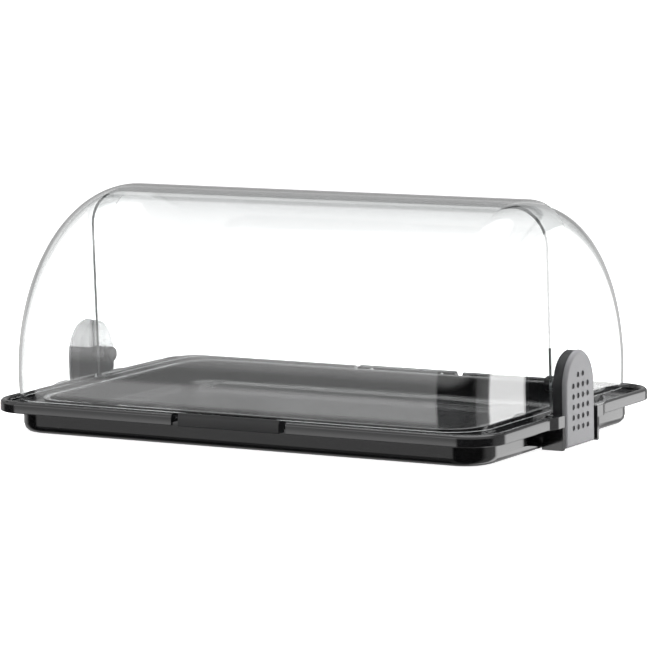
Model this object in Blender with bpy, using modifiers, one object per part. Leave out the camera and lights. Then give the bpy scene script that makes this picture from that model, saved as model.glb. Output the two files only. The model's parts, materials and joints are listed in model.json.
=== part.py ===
# Roll-top bread display for a counter: a black base with a lift-out serving tray,
# and two clear lids that turn on one axis between two end brackets.
# X runs along the length, Y from front to back, Z up; the origin is on the counter.

from math import asin, cos, pi, radians, sin, sqrt

import bmesh
import bpy
from mathutils import Matrix, Vector

# Base outline and lip
BASE_LENGTH = 0.580
BASE_DEPTH = 0.366
BASE_CORNER = 0.038
BASE_WALL = 0.003
LIP_HEIGHT = 0.0355
LIP_FACE = 0.012
LIP_WIDTH = 0.008
LIP_CHAMFER = 0.0008
TROUGH_DROP = 0.006

# Bowl below the lip
BOWL_INSET = 0.018
BOWL_CORNER = 0.034
BOWL_FILLET = 0.009
BOWL_CLEARANCE = 0.0005
BOWL_FLOOR = 0.0032
FLOOR_FILLET = 0.005
PAD_RADIUS = 0.009
PAD_THICKNESS = 0.0015
PAD_INSET_X = 0.047
PAD_INSET_Y = 0.045
PAD_CLEARANCE = 0.0004

# Serving tray and the ridge that carries its rail
TRAY_INSET_X = 0.044
TRAY_INSET_Y = 0.032
TRAY_CORNER = 0.030
TRAY_WALL = 0.002
TRAY_RAIL = 0.0062
TRAY_RAIL_EDGE = 0.0006
TRAY_DRAFT = 0.0015
TRAY_STEP_HEIGHT = 0.014
TRAY_STEP_WIDTH = 0.004
TRAY_STEP_DROP = 0.003
TRAY_TOE = 0.0035
RIDGE_DROP = 0.0025
RIDGE_WIDTH = 0.0024
RIDGE_GAP = 0.001

# Lids
PIVOT_HEIGHT = 0.060
LID_SETBACK = 0.003
LID_INSET = 0.0195
LID_WALL = 0.003
LID_CORNER = 0.042
LID_NEST_GAP = 0.0008
LID_EDGE_GAP = 0.0005
FRONT_LID_REACH = 0.017
REAR_LID_REACH = 0.012
LID_LEAN = 0.005
PIN_RADIUS = 0.004

# Handles on the lids' lower edges
FRONT_HANDLE_LENGTH = 0.117
REAR_HANDLE_LENGTH = 0.117
HANDLE_GAP_SIDE = 0.0075
HANDLE_GRIP = 0.0048
HANDLE_CHEEK = 0.0022
HANDLE_EDGE = 0.0006
HANDLE_RISE = 0.001
HANDLE_SLOPE_DROP = 0.0045
HANDLE_SLOPE_DEPTH = 0.0024
HANDLE_SLOT_GAP = 0.0004
TONGUE_DEPTH = 0.0075
TONGUE_MARGIN = 0.006
HANDLE_SCREW_INSET = 0.0185
HANDLE_CLEARANCE = 0.0006

# End brackets
BRACKET_PROUD = 0.0035
BRACKET_THICKNESS = 0.015
BRACKET_WIDTH = 0.062
BRACKET_RISE = 0.0355
BRACKET_CLEARANCE = 0.001
COVER_THICKNESS = 0.0042
COVER_EDGE = 0.0016
BODY_INSET = 0.0008
BODY_EDGE = 0.0006
DIMPLE_RADIUS = 0.00225
DIMPLE_DEPTH = 0.001
DIMPLE_PITCH_Y = 0.010
DIMPLE_PITCH_Z = 0.0104
DIMPLE_FIRST = 0.0196
DIMPLE_ROWS = 6
COVER_SCREW_LOW = 0.0144
COVER_SCREW_HIGH = 0.0352

# Bracket pockets and finger recesses in the base
POCKET_GAP = 0.0038
POCKET_WALL = 0.004
EAR_PROUD = 0.004
EAR_STRAIGHT = 0.007
EAR_FLARE = 0.016
RECESS_DEPTH = 0.0175
RECESS_WIDTH = 0.0345
RECESS_LEDGE = 0.0055
RECESS_MOUTH = 0.0085
RECESS_RISE = 0.0045

# Pivot hardware
SPACER_RADIUS = 0.008
WASHER_RADIUS = 0.009
WASHER_THICKNESS = 0.001
KNOB_RADIUS = 0.00775
KNOB_THICKNESS = 0.0075
KNOB_EDGE = 0.002
KNOB_BORE = 0.0058
PIN_SEAT = 0.007

# Small screws
SCREW_RADIUS = 0.0015
SCREW_HEAD_RADIUS = 0.003
SCREW_HEAD = 0.0015
SCREW_BITE = 0.003

# Clearances and mesh fineness
GAP = 0.0003
SEAM = 0.0002
OVERRUN = 0.02
MERGE = 0.00001
CORNER_STEPS = 8
FILLET_STEPS = 3
LID_STEPS = 72
LID_CORNER_STEPS = 7
ARCH_STEPS = 18
ROUND_STEPS = 16
HOLE_STEPS = 8

# Places that follow from the sizes above
HALF_LENGTH = BASE_LENGTH / 2
HALF_DEPTH = BASE_DEPTH / 2
LIP_BOTTOM = LIP_HEIGHT - LIP_FACE
TROUGH_TOP = LIP_HEIGHT - TROUGH_DROP
TROUGH_UNDER = TROUGH_TOP - BASE_WALL
BOWL_X = HALF_LENGTH - BOWL_INSET
BOWL_Y = HALF_DEPTH - BOWL_INSET
FLOOR_TOP = BOWL_CLEARANCE + BOWL_FLOOR
TRAY_X = HALF_LENGTH - TRAY_INSET_X
TRAY_Y = HALF_DEPTH - TRAY_INSET_Y
RIDGE_TOP = LIP_HEIGHT - RIDGE_DROP
RIDGE_OFFSET = TRAY_WALL + RIDGE_GAP
LID_RADIUS = HALF_DEPTH - LID_SETBACK
LID_END = HALF_LENGTH - LID_INSET
LID_EDGE = LIP_HEIGHT + LID_EDGE_GAP
NEST = LID_WALL + LID_NEST_GAP
REAR_LID_RADIUS = LID_RADIUS - NEST
REAR_LID_END = LID_END - NEST
BORE_RADIUS = PIN_RADIUS + GAP
BRACKET_OUTER = HALF_LENGTH + BRACKET_PROUD
BRACKET_INNER = BRACKET_OUTER - BRACKET_THICKNESS
COVER_INNER = BRACKET_OUTER - COVER_THICKNESS
POCKET_HALF = BRACKET_WIDTH / 2 + POCKET_GAP
EAR_HALF = POCKET_HALF + POCKET_WALL
POCKET_BACK = BRACKET_INNER - GAP
WASHER_OUTER = REAR_LID_END - LID_WALL - GAP
KNOB_OUTER = WASHER_OUTER - WASHER_THICKNESS - GAP
SCREW_BORE = SCREW_RADIUS + GAP
PIVOT = Vector((0, 0, PIVOT_HEIGHT))

# Local X, Y, Z become world Y, Z, X: outlines drawn as the side view
SIDE_VIEW = (pi / 2, 0, pi / 2)


def clear_scene():
    for item in list(bpy.data.objects):
        bpy.data.objects.remove(item, do_unlink=True)


def make_collection(name):
    group = bpy.data.collections.new(name)
    bpy.context.scene.collection.children.link(group)
    return group


def make_material(name, colour, roughness, alpha=1.0, metallic=0.0):
    material = bpy.data.materials.new(name)
    material.use_nodes = True
    shader = material.node_tree.nodes["Principled BSDF"]
    shader.inputs["Base Color"].default_value = (*colour, 1)
    shader.inputs["Roughness"].default_value = roughness
    shader.inputs["Metallic"].default_value = metallic
    shader.inputs["Alpha"].default_value = alpha
    return material


def add_object(name, mesh, group, location=(0, 0, 0), rotation=(0, 0, 0)):
    item = bpy.data.objects.new(name, mesh)
    item.location = location
    item.rotation_euler = rotation
    group.objects.link(item)
    return item


def add_cutter(name, mesh, location=(0, 0, 0), rotation=(0, 0, 0)):
    cutter = add_object(name, mesh, cutters, location, rotation)
    cutter.hide_render = True
    cutter.display_type = "WIRE"
    return cutter


def dress(item, material):
    item.data.materials.clear()
    item.data.materials.append(material)
    item.data.shade_smooth()
    item.data.set_sharp_from_angle(angle=radians(35))


def mesh_of(bm, name):
    bmesh.ops.recalc_face_normals(bm, faces=bm.faces)
    mesh = bpy.data.meshes.new(name)
    bm.to_mesh(mesh)
    bm.free()
    return mesh


def boolean(item, cutter, operation="DIFFERENCE"):
    modifier = item.modifiers.new(cutter.name, "BOOLEAN")
    modifier.operation = operation
    modifier.solver = "EXACT"
    modifier.object = cutter


def bevel(item, width, segments=2):
    modifier = item.modifiers.new("rounded edges", "BEVEL")
    modifier.width = width
    modifier.segments = segments
    modifier.limit_method = "ANGLE"
    modifier.angle_limit = radians(40)


def finished_mesh(item, name):
    """The item's mesh with its modifiers applied; the item itself goes."""
    bpy.context.view_layer.update()
    state = item.evaluated_get(bpy.context.evaluated_depsgraph_get())
    mesh = bpy.data.meshes.new_from_object(state)
    mesh.name = name
    bpy.data.objects.remove(item, do_unlink=True)
    return mesh


def block_mesh(name, low, high):
    size = Vector(high) - Vector(low)
    centre = (Vector(high) + Vector(low)) / 2
    bm = bmesh.new()
    bmesh.ops.create_cube(bm, size=1, matrix=Matrix.LocRotScale(centre, None, size))
    return mesh_of(bm, name)


def rod_mesh(name, radius, length, steps, places=((0, 0, 0),)):
    """Rods that start at each place and run along +X."""
    bm = bmesh.new()
    for place in places:
        centre = Vector(place) + Vector((length / 2, 0, 0))
        turn = Matrix.Rotation(pi / 2, 4, "Y")
        bmesh.ops.create_cone(
            bm, cap_ends=True, segments=steps, radius1=radius, radius2=radius,
            depth=length, matrix=Matrix.Translation(centre) @ turn)
    return mesh_of(bm, name)


def ring(bm, half_x, half_y, corner, height):
    verts = []
    for quadrant in range(4):
        middle = quadrant * pi / 2 + pi / 4
        centre_x = (half_x - corner) * (1 if cos(middle) > 0 else -1)
        centre_y = (half_y - corner) * (1 if sin(middle) > 0 else -1)
        for step in range(CORNER_STEPS + 1):
            angle = quadrant * pi / 2 + step / CORNER_STEPS * pi / 2
            x = centre_x + corner * cos(angle)
            y = centre_y + corner * sin(angle)
            verts.append(bm.verts.new((x, y, height)))
    return verts


def loft_mesh(name, sections):
    """A closed body through rounded rectangles (half x, half y, corner, height)."""
    bm = bmesh.new()
    rings = [ring(bm, *section) for section in sections]
    count = len(rings[0])
    bm.faces.new(rings[0])
    bm.faces.new(rings[-1])
    for lower, upper in zip(rings, rings[1:]):
        for index in range(count):
            after = (index + 1) % count
            bm.faces.new((lower[index], lower[after], upper[after], upper[index]))
    return mesh_of(bm, name)


def outline_mesh(name, points, thickness):
    """A flat outline in local XY, extruded half its thickness both ways along Z."""
    curve = bpy.data.curves.new(name, "CURVE")
    curve.dimensions = "2D"
    curve.fill_mode = "BOTH"
    curve.extrude = thickness / 2
    spline = curve.splines.new("POLY")
    spline.points.add(len(points) - 1)
    for point, (x, y) in zip(spline.points, points):
        point.co = (x, y, 0, 1)
    spline.use_cyclic_u = True
    mesh = finished_mesh(add_object(name, curve, cutters), name)
    bm = bmesh.new()
    bm.from_mesh(mesh)
    bmesh.ops.remove_doubles(bm, verts=bm.verts, dist=MERGE)
    bpy.data.meshes.remove(mesh)
    return mesh_of(bm, name)


def turned_item(name, profile, steps, closed=False, group=None):
    """A profile of (radius, height) turned about local Z."""
    mesh = bpy.data.meshes.new(name)
    edges = [(index, index + 1) for index in range(len(profile) - 1)]
    if closed:
        edges.append((len(profile) - 1, 0))
    mesh.from_pydata([(radius, 0, height) for radius, height in profile], edges, [])
    item = add_object(name, mesh, group or cutters)
    screw = item.modifiers.new("turned", "SCREW")
    screw.axis = "Z"
    screw.angle = 2 * pi
    screw.steps = steps
    screw.render_steps = steps
    screw.use_merge_vertices = True
    screw.merge_threshold = MERGE
    return item


def turned_mesh(name, profile, steps, closed=False):
    return finished_mesh(turned_item(name, profile, steps, closed), name)


def attach(item, parent):
    item.parent = parent
    item.location = Vector(item.location) - Vector(parent.location)


def add_axis(name, location):
    axis = bpy.data.objects.new(name, None)
    axis.location = location
    axis.empty_display_size = PIN_RADIUS
    display.objects.link(axis)
    return axis


def arc(centre_x, centre_y, radius_x, radius_y, start, end, steps):
    points = []
    for step in range(steps + 1):
        angle = start + (end - start) * step / steps
        points.append((centre_x + radius_x * cos(angle), centre_y + radius_y * sin(angle)))
    return points


# Base
def base_sections():
    sections = []
    for step in range(FILLET_STEPS + 1):
        angle = step / FILLET_STEPS * pi / 2
        inset = BOWL_FILLET * (1 - sin(angle))
        height = BOWL_CLEARANCE + BOWL_FILLET * (1 - cos(angle))
        sections.append((BOWL_X - inset, BOWL_Y - inset, BOWL_CORNER - inset, height))
    sections.append((BOWL_X, BOWL_Y, BOWL_CORNER, TROUGH_UNDER))

    def lip(inset, height):
        sections.append((HALF_LENGTH - inset, HALF_DEPTH - inset, BASE_CORNER - inset, height))

    lip(BASE_WALL, TROUGH_UNDER)
    lip(BASE_WALL, LIP_BOTTOM)
    lip(LIP_CHAMFER, LIP_BOTTOM)
    lip(0, LIP_BOTTOM + LIP_CHAMFER)
    round_top = LIP_WIDTH / 2
    for step in range(2 * FILLET_STEPS + 1):
        angle = step / (2 * FILLET_STEPS) * pi
        lip(round_top * (1 - cos(angle)), LIP_HEIGHT - round_top * (1 - sin(angle)))
    lip(LIP_WIDTH, TROUGH_TOP)

    def ridge(offset, height):
        sections.append((TRAY_X + offset, TRAY_Y + offset, TRAY_CORNER + offset, height))

    ridge(RIDGE_OFFSET + RIDGE_WIDTH, TROUGH_TOP)
    ridge(RIDGE_OFFSET + RIDGE_WIDTH, RIDGE_TOP)
    ridge(RIDGE_OFFSET, RIDGE_TOP)
    ridge(RIDGE_OFFSET, TROUGH_UNDER)
    inner = BASE_WALL
    sections.append((BOWL_X - inner, BOWL_Y - inner, BOWL_CORNER - inner, TROUGH_UNDER))
    floor_edge = FLOOR_TOP + FLOOR_FILLET
    sections.append((BOWL_X - inner, BOWL_Y - inner, BOWL_CORNER - inner, floor_edge))
    inner += FLOOR_FILLET
    sections.append((BOWL_X - inner, BOWL_Y - inner, BOWL_CORNER - inner, FLOOR_TOP))
    return sections


def ear_outline():
    """Half plan of the swelling of the lip beside a pocket, on the +X side."""
    inner = HALF_LENGTH - LIP_WIDTH / 2
    start = HALF_LENGTH - GAP
    end = HALF_LENGTH + EAR_PROUD
    near = EAR_HALF + EAR_STRAIGHT
    half = []
    for step in range(ARCH_STEPS // 2 + 1):
        share = step / (ARCH_STEPS // 2)
        swell = (1 - cos(share * pi)) / 2
        half.append((start + (end - start) * swell, near + EAR_FLARE * (1 - share)))
    outline = [(inner, near + EAR_FLARE)] + half
    return outline + [(x, -y) for x, y in reversed(outline)]


def end_pieces(side):
    """Solids to join to and cut from the base at one end; side is 1 or -1."""
    turn = (0, 0, 0 if side > 0 else pi)
    outer = HALF_LENGTH + EAR_PROUD
    far = outer + OVERRUN
    top = LIP_HEIGHT - SEAM
    recess_back = BOWL_X - RECESS_DEPTH
    recess_near = EAR_HALF + SEAM
    recess_far = EAR_HALF + RECESS_WIDTH
    label = "right" if side > 0 else "left"
    joined = []
    removed = []

    def place(kind, mesh, target, location=(0, 0, 0)):
        target.append(add_cutter(f"{label} {kind}", mesh, location, turn))

    under = LIP_BOTTOM + SEAM
    ears = outline_mesh("ears", ear_outline(), top - under)
    place("ears", ears, joined, (0, 0, (under + top) / 2))
    low = (BOWL_X - BASE_WALL / 2, -EAR_HALF, BOWL_CLEARANCE + SEAM)
    high = (outer - SEAM, EAR_HALF, TROUGH_TOP - SEAM)
    place("pocket", block_mesh("pocket", low, high), joined)
    low = (POCKET_BACK - BASE_WALL, SEAM - EAR_HALF, under + SEAM)
    high = (HALF_LENGTH - SEAM, EAR_HALF - SEAM, top - SEAM)
    place("pocket back", block_mesh("pocket back", low, high), joined)
    for hand in (1, -1):
        y_low, y_high = sorted((hand * (EAR_HALF - BASE_WALL), hand * (recess_far + BASE_WALL)))
        low = (recess_back - BASE_WALL, y_low, FLOOR_TOP - SEAM)
        high = (BOWL_X - BASE_WALL / 2 - SEAM, y_high, TROUGH_UNDER + SEAM)
        place(f"recess housing {hand}", block_mesh("recess housing", low, high), joined)

    low = (POCKET_BACK, -POCKET_HALF, -OVERRUN)
    high = (far, POCKET_HALF, LIP_HEIGHT + OVERRUN)
    place("pocket space", block_mesh("pocket space", low, high), removed)
    low = (BOWL_X + SEAM, SEAM - POCKET_HALF, -OVERRUN)
    high = (POCKET_BACK - BASE_WALL, POCKET_HALF - SEAM, TROUGH_UNDER - SEAM)
    place("pocket relief", block_mesh("pocket relief", low, high), removed)
    for hand in (1, -1):
        points = [
            (recess_near, -OVERRUN),
            (recess_near + RECESS_MOUTH, -OVERRUN),
            (recess_near + RECESS_MOUTH, RECESS_LEDGE),
            (recess_far, RECESS_LEDGE + RECESS_RISE),
            (recess_far, LIP_BOTTOM - SEAM),
            (recess_near, LIP_BOTTOM - SEAM),
        ]
        points = [(hand * y, z) for y, z in points]
        mesh = outline_mesh("recess space", points, far - recess_back)
        middle = side * (far + recess_back) / 2
        spin = (pi / 2, 0, pi / 2 + turn[2])
        removed.append(add_cutter(f"{label} recess space {hand}", mesh, (middle, 0, 0), spin))
    return joined, removed


def handle_gap_cutter(side, length, radius):
    inner_face = handle_inner_face(radius) - SCREW_HEAD - HANDLE_CLEARANCE
    half = length / 2 + HANDLE_GAP_SIDE
    y_low, y_high = sorted((side * inner_face, side * (HALF_DEPTH + OVERRUN)))
    low = (-half, y_low, LIP_BOTTOM - OVERRUN / 4)
    high = (half, y_high, LIP_HEIGHT + OVERRUN)
    label = "front handle gap" if side < 0 else "rear handle gap"
    return add_cutter(label, block_mesh(label, low, high))


def pad_places():
    x = BOWL_X - PAD_INSET_X
    y = BOWL_Y - PAD_INSET_Y
    return (("front_left", -x, -y), ("front_right", x, -y), ("rear_left", -x, y), ("rear_right", x, y))


def build_base(material):
    base = add_object("base_tray", loft_mesh("base_tray", base_sections()), display)
    for side in (1, -1):
        joined, removed = end_pieces(side)
        for cutter in joined:
            boolean(base, cutter, "UNION")
        for cutter in removed:
            boolean(base, cutter)
    boolean(base, handle_gap_cutter(-1, FRONT_HANDLE_LENGTH, LID_RADIUS))
    boolean(base, handle_gap_cutter(1, REAR_HANDLE_LENGTH, REAR_LID_RADIUS))
    seat = PAD_THICKNESS + GAP
    hollow_mesh = pad_mesh("pad seat", PAD_RADIUS + PAD_CLEARANCE, seat + OVERRUN)
    for name, x, y in pad_places():
        boolean(base, add_cutter(f"{name} pad seat", hollow_mesh, (x, y, seat / 2 - OVERRUN / 2)))
    dress(base, material)


def pad_mesh(name, radius, height):
    bm = bmesh.new()
    bmesh.ops.create_cone(
        bm, cap_ends=True, segments=ROUND_STEPS, radius1=radius, radius2=radius, depth=height)
    return mesh_of(bm, name)


def build_pads(material):
    mesh = pad_mesh("pad", PAD_RADIUS, PAD_THICKNESS)
    for name, x, y in pad_places():
        dress(add_object(f"{name}_pad", mesh, display, (x, y, PAD_THICKNESS / 2)), material)


# Serving tray
def build_tray(material):
    under = FLOOR_TOP + GAP
    floor = under + TRAY_WALL
    rail_under = RIDGE_TOP + GAP
    rail_top = rail_under + TRAY_WALL
    step_low = TRAY_STEP_HEIGHT - TRAY_STEP_DROP
    toe = TRAY_DRAFT + TRAY_STEP_WIDTH + TRAY_TOE
    profile = (
        (toe - TRAY_WALL, under),
        (TRAY_DRAFT + TRAY_STEP_WIDTH - TRAY_WALL, step_low - TRAY_WALL),
        (TRAY_DRAFT - TRAY_WALL, TRAY_STEP_HEIGHT - TRAY_WALL),
        (-TRAY_WALL, rail_under),
        (TRAY_RAIL_EDGE - TRAY_RAIL, rail_under),
        (-TRAY_RAIL, rail_under + TRAY_RAIL_EDGE),
        (-TRAY_RAIL, rail_top - TRAY_RAIL_EDGE),
        (TRAY_RAIL_EDGE - TRAY_RAIL, rail_top),
        (-TRAY_RAIL_EDGE, rail_top),
        (0, rail_top - TRAY_RAIL_EDGE),
        (TRAY_DRAFT, TRAY_STEP_HEIGHT),
        (TRAY_DRAFT + TRAY_STEP_WIDTH, step_low),
        (toe, floor),
    )
    sections = [(TRAY_X - inset, TRAY_Y - inset, TRAY_CORNER - inset, z) for inset, z in profile]
    dress(add_object("serving_tray", loft_mesh("serving_tray", sections), display), material)


# Lids
def lid_profile(radius, end, corner):
    """Half section of the lid's outer face, as (distance from the axis, place along it)."""
    points = [(BORE_RADIUS, end), (radius - corner, end)]
    for step in range(1, LID_CORNER_STEPS + 1):
        angle = (1 - step / LID_CORNER_STEPS) * pi / 2
        points.append((radius - corner + corner * cos(angle), end - corner + corner * sin(angle)))
    return points + [(distance, -place) for distance, place in reversed(points)]


def lid_clip(name, side, radius, end, reach, handle_length):
    """The space the lid fills in side view: side is -1 for the front lid, 1 for the rear."""
    heel = PIVOT_HEIGHT - LID_EDGE
    top = PIVOT_HEIGHT + radius + OVERRUN
    lean = LID_LEAN / LID_RADIUS
    start = asin(-reach / heel)
    points = [(side * (radius + OVERRUN), LID_EDGE)]
    for step in range(ARCH_STEPS + 1):
        angle = start * step / ARCH_STEPS
        points.append((side * heel * sin(angle), PIVOT_HEIGHT - heel * cos(angle)))
    points.append((-side * (reach + (top - PIVOT_HEIGHT) * lean), top))
    points.append((side * (radius + OVERRUN), top))
    mesh = outline_mesh(f"{name} outline", points, 2 * (end + OVERRUN))
    clip = add_cutter(f"{name} outline", mesh, rotation=SIDE_VIEW)
    half = handle_length / 2 - TONGUE_MARGIN
    y_low, y_high = sorted((side * (radius - OVERRUN), side * (radius + OVERRUN / 2)))
    low = (-half, y_low, LID_EDGE - TONGUE_DEPTH)
    high = (half, y_high, LID_EDGE + TONGUE_DEPTH)
    boolean(clip, add_cutter(f"{name} tongue", block_mesh("tongue", low, high)), "UNION")
    return clip


def build_lid(name, side, radius, end, corner, reach, handle_length, axis, material):
    lid = turned_item(name, lid_profile(radius, end, corner), LID_STEPS, group=display)
    lid.location = PIVOT
    lid.rotation_euler = (0, pi / 2, 0)
    solidify = lid.modifiers.new("wall", "SOLIDIFY")
    solidify.thickness = LID_WALL
    solidify.offset = -1
    solidify.use_even_offset = True
    boolean(lid, lid_clip(name, side, radius, end, reach, handle_length), "INTERSECT")
    boolean(lid, handle_bores(name, side, radius, handle_length))
    dress(lid, material)
    attach(lid, axis)


# Handles
def handle_middle(radius):
    """Place of the tongue's middle: distance from the centre line, height and tilt."""
    height = LID_EDGE - TONGUE_DEPTH / 2
    middle = radius - LID_WALL / 2
    drop = PIVOT_HEIGHT - height
    return sqrt(middle ** 2 - drop ** 2), height, asin(drop / middle)


def handle_inner_face(radius):
    return handle_middle(radius)[0] - LID_WALL / 2 - GAP - HANDLE_CHEEK


def handle_outer_face(radius):
    return handle_middle(radius)[0] + LID_WALL / 2 + GAP + HANDLE_GRIP


def handle_screw_places(length):
    spread = length / 2 - HANDLE_SCREW_INSET
    return (("left", -spread), ("right", spread))


def handle_bores(name, side, radius, length):
    start = handle_inner_face(radius) - OVERRUN / 2
    end = handle_middle(radius)[0] + LID_WALL / 2 + GAP + SCREW_BITE + GAP
    height = handle_middle(radius)[1]
    places = [(start, -side * x, height) for hand, x in handle_screw_places(length)]
    mesh = rod_mesh(f"{name} bores", SCREW_BORE, end - start, HOLE_STEPS, places)
    return add_cutter(f"{name} bores", mesh, rotation=(0, 0, side * pi / 2))


def build_handle(name, side, radius, length, axis, material):
    inner = handle_inner_face(radius)
    outer = handle_outer_face(radius)
    middle, height, tilt = handle_middle(radius)
    top = LID_EDGE - GAP
    peak = top + HANDLE_RISE
    outline = [
        (side * inner, LIP_BOTTOM), (side * outer, LIP_BOTTOM),
        (side * outer, peak - HANDLE_SLOPE_DROP), (side * (outer - HANDLE_SLOPE_DEPTH), peak),
        (side * inner, peak),
    ]
    mesh = outline_mesh(name, outline, length)
    handle = add_object(name, mesh, display, rotation=SIDE_VIEW)
    bevel(handle, HANDLE_EDGE)

    slot_half = LID_WALL / 2 + HANDLE_SLOT_GAP
    reach = TONGUE_DEPTH / 2 / cos(tilt) + LID_WALL * sin(tilt) + GAP
    size_low = (-length / 2 + TONGUE_MARGIN - GAP, -slot_half, -reach)
    size_high = (length / 2 - TONGUE_MARGIN + GAP, slot_half, OVERRUN)
    slot = block_mesh(f"{name} slot", size_low, size_high)
    turn = (-side * tilt, 0, 0)
    boolean(handle, add_cutter(f"{name} slot", slot, (0, side * middle, height), turn))
    y_low, y_high = sorted((side * (inner - OVERRUN), side * (middle + slot_half + LID_WALL / 2)))
    low = (-length / 2 - OVERRUN, y_low, top)
    high = (length / 2 + OVERRUN, y_high, peak + OVERRUN)
    boolean(handle, add_cutter(f"{name} step", block_mesh(f"{name} step", low, high)))
    boolean(handle, handle_bores(name, side, radius, length))
    dress(handle, material)
    attach(handle, axis)


def screw_mesh(shank):
    """A small round-headed screw: its head is above Z = 0 and its shank below."""
    profile = (
        (0, SCREW_HEAD),
        (SCREW_HEAD_RADIUS - SCREW_HEAD / 2, SCREW_HEAD),
        (SCREW_HEAD_RADIUS, SCREW_HEAD / 2),
        (SCREW_HEAD_RADIUS, 0),
        (SCREW_RADIUS, 0),
        (SCREW_RADIUS, -shank + SCREW_RADIUS / 2),
        (SCREW_RADIUS / 2, -shank),
        (0, -shank),
    )
    return turned_mesh("screw", profile, HOLE_STEPS)


def build_handle_screws(name, side, radius, length, axis, material):
    face = handle_inner_face(radius) - GAP
    middle, height, tilt = handle_middle(radius)
    mesh = screw_mesh(middle + LID_WALL / 2 + GAP + SCREW_BITE - face)
    for hand, x in handle_screw_places(length):
        place = (x, side * face, height)
        screw = add_object(f"{name}_screw_{hand}", mesh, display, place, (side * pi / 2, 0, 0))
        dress(screw, material)
        attach(screw, axis)


# Brackets, drawn for the right end in side view
def arch_outline(inset):
    half = BRACKET_WIDTH / 2 - inset
    rise = BRACKET_RISE - inset
    low = BRACKET_CLEARANCE
    return [(-half, low), (half, low)] + arc(0, PIVOT_HEIGHT, half, rise, 0, pi, ARCH_STEPS)


def arch_item(name, inset, inner, outer):
    mesh = outline_mesh(name, arch_outline(inset), outer - inner)
    middle = (inner + outer) / 2
    return add_object(name, mesh, cutters, (middle, 0, 0), SIDE_VIEW)


def settled_mesh(item, name):
    """The finished mesh, in coordinates that start at the pivot axis."""
    bpy.context.view_layer.update()
    place = item.matrix_world.copy()
    mesh = finished_mesh(item, name)
    mesh.transform(Matrix.Translation(-PIVOT) @ place)
    return mesh


def dimple_places():
    places = []
    start = BRACKET_OUTER - DIMPLE_DEPTH
    for row in range(DIMPLE_ROWS):
        columns = (-0.5, 0.5) if row == DIMPLE_ROWS - 1 else (-1.5, -0.5, 0.5, 1.5)
        for column in columns:
            height = DIMPLE_FIRST + row * DIMPLE_PITCH_Z
            places.append((start, column * DIMPLE_PITCH_Y, height))
    return places


def cover_screw_places(start):
    return [(start, 0, COVER_SCREW_LOW), (start, 0, COVER_SCREW_HIGH)]


def cover_mesh():
    cover = arch_item("cover", 0, COVER_INNER, BRACKET_OUTER)
    bevel(cover, COVER_EDGE, 3)
    dimples = rod_mesh("dimples", DIMPLE_RADIUS, OVERRUN, HOLE_STEPS, dimple_places())
    boolean(cover, add_cutter("dimples", dimples))
    bores = cover_screw_places(COVER_INNER - OVERRUN)
    depth = OVERRUN + SCREW_BITE
    boolean(cover, add_cutter("cover bores", rod_mesh("cover bores", SCREW_BORE, depth, HOLE_STEPS, bores)))
    return settled_mesh(cover, "bracket_cover")


def body_mesh():
    body = arch_item("body", BODY_INSET, BRACKET_INNER, COVER_INNER - GAP)
    bevel(body, BODY_EDGE, 1)
    start = BRACKET_INNER - OVERRUN
    pin_hole = rod_mesh(
        "pin seat", BORE_RADIUS, OVERRUN + PIN_SEAT + GAP, ROUND_STEPS, [(start, 0, PIVOT_HEIGHT)])
    boolean(body, add_cutter("pin seat", pin_hole))
    places = cover_screw_places(start)
    through = OVERRUN + BRACKET_THICKNESS
    boolean(body, add_cutter("body bores", rod_mesh("body bores", SCREW_BORE, through, HOLE_STEPS, places)))
    sink = OVERRUN + SCREW_HEAD + 2 * GAP
    head = SCREW_HEAD_RADIUS + GAP
    boolean(body, add_cutter("head seats", rod_mesh("head seats", head, sink, HOLE_STEPS, places)))
    return settled_mesh(body, "bracket_body")


def cover_screw_mesh(place):
    face, across, height = place
    mesh = screw_mesh(COVER_INNER + SCREW_BITE - GAP - face)
    turn = Matrix.Rotation(-pi / 2, 4, "Y")
    mesh.transform(Matrix.Translation(Vector(place) - PIVOT) @ turn)
    return mesh


def ring_mesh(name, outer, inner, start, end, edge):
    """A collar with its axis along X, between two places on it."""
    profile = (
        (inner, end), (outer - edge, end), (outer, end - edge),
        (outer, start + edge), (outer - edge, start), (inner, start),
    )
    mesh = turned_mesh(name, profile, ROUND_STEPS, closed=True)
    mesh.transform(Matrix.Rotation(pi / 2, 4, "Y"))
    return mesh


def pin_mesh():
    start = KNOB_OUTER - KNOB_BORE + GAP
    length = BRACKET_INNER + PIN_SEAT - start
    return rod_mesh("pivot_pin", PIN_RADIUS, length, ROUND_STEPS, [(start, 0, 0)])


def knob_mesh():
    """A mushroom knob: its domed face is at the top of local Z, its seat at Z = 0."""
    top = KNOB_THICKNESS
    profile = [(0, top)]
    dome = arc(KNOB_RADIUS - KNOB_EDGE, top - KNOB_EDGE, KNOB_EDGE, KNOB_EDGE, pi / 2, 0, FILLET_STEPS)
    profile += dome
    profile += [
        (KNOB_RADIUS, KNOB_EDGE),
        (KNOB_RADIUS - KNOB_EDGE / 2, 0),
        (BORE_RADIUS, 0),
        (BORE_RADIUS, KNOB_BORE),
        (0, KNOB_BORE),
    ]
    mesh = turned_mesh("knob", profile, ROUND_STEPS)
    mesh.transform(Matrix.Translation((KNOB_OUTER, 0, 0)) @ Matrix.Rotation(-pi / 2, 4, "Y"))
    return mesh


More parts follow.
